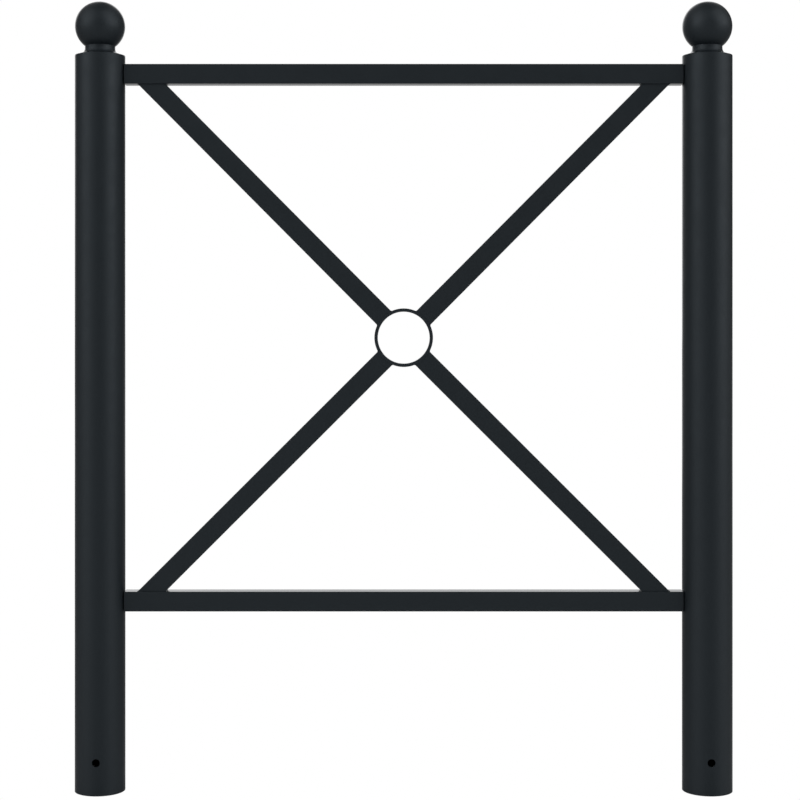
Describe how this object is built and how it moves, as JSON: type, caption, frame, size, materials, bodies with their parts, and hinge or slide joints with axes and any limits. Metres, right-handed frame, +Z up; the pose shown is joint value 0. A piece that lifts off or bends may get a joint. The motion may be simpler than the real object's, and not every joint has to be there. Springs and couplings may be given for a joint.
{
  "type": "pedestrian guard railing",
  "caption": "Steel guard railing bay for a footway edge: round posts with ball finials, two rails of rectangular tube and a diagonal cross of bars that meet on a small ring.",
  "frame": {"origin": "middle of the left post's foot, at the lowest level of the railing; the feet stand about 200 mm down in the foundation", "axes": "+X along the railing to the right post, +Y to the back, +Z up"},
  "size_m": [1, 0.076, 1.1995],
  "materials": {
    "powder_coat": "satin"
  },
  "bodies": {
    "root": {"bottom_rail": "powder_coat", "bottom_rail_left_boss": "powder_coat", "bottom_rail_right_boss": "powder_coat", "centre_ring": "powder_coat", "left_finial_ball": "powder_coat", "left_finial_collar": "powder_coat", "left_post": "powder_coat", "lower_left_brace": "powder_coat", "lower_left_brace_rail_weld": "powder_coat", "lower_left_brace_ring_weld": "powder_coat", "lower_right_brace": "powder_coat", "lower_right_brace_rail_weld": "powder_coat", "lower_right_brace_ring_weld": "powder_coat", "right_finial_ball": "powder_coat", "right_finial_collar": "powder_coat", "right_post": "powder_coat", "top_rail": "powder_coat", "top_rail_left_boss": "powder_coat", "top_rail_right_boss": "powder_coat", "upper_left_brace": "powder_coat", "upper_left_brace_rail_weld": "powder_coat", "upper_left_brace_ring_weld": "powder_coat", "upper_right_brace": "powder_coat", "upper_right_brace_rail_weld": "powder_coat", "upper_right_brace_ring_weld": "powder_coat"}
  },
  "joints": []
}
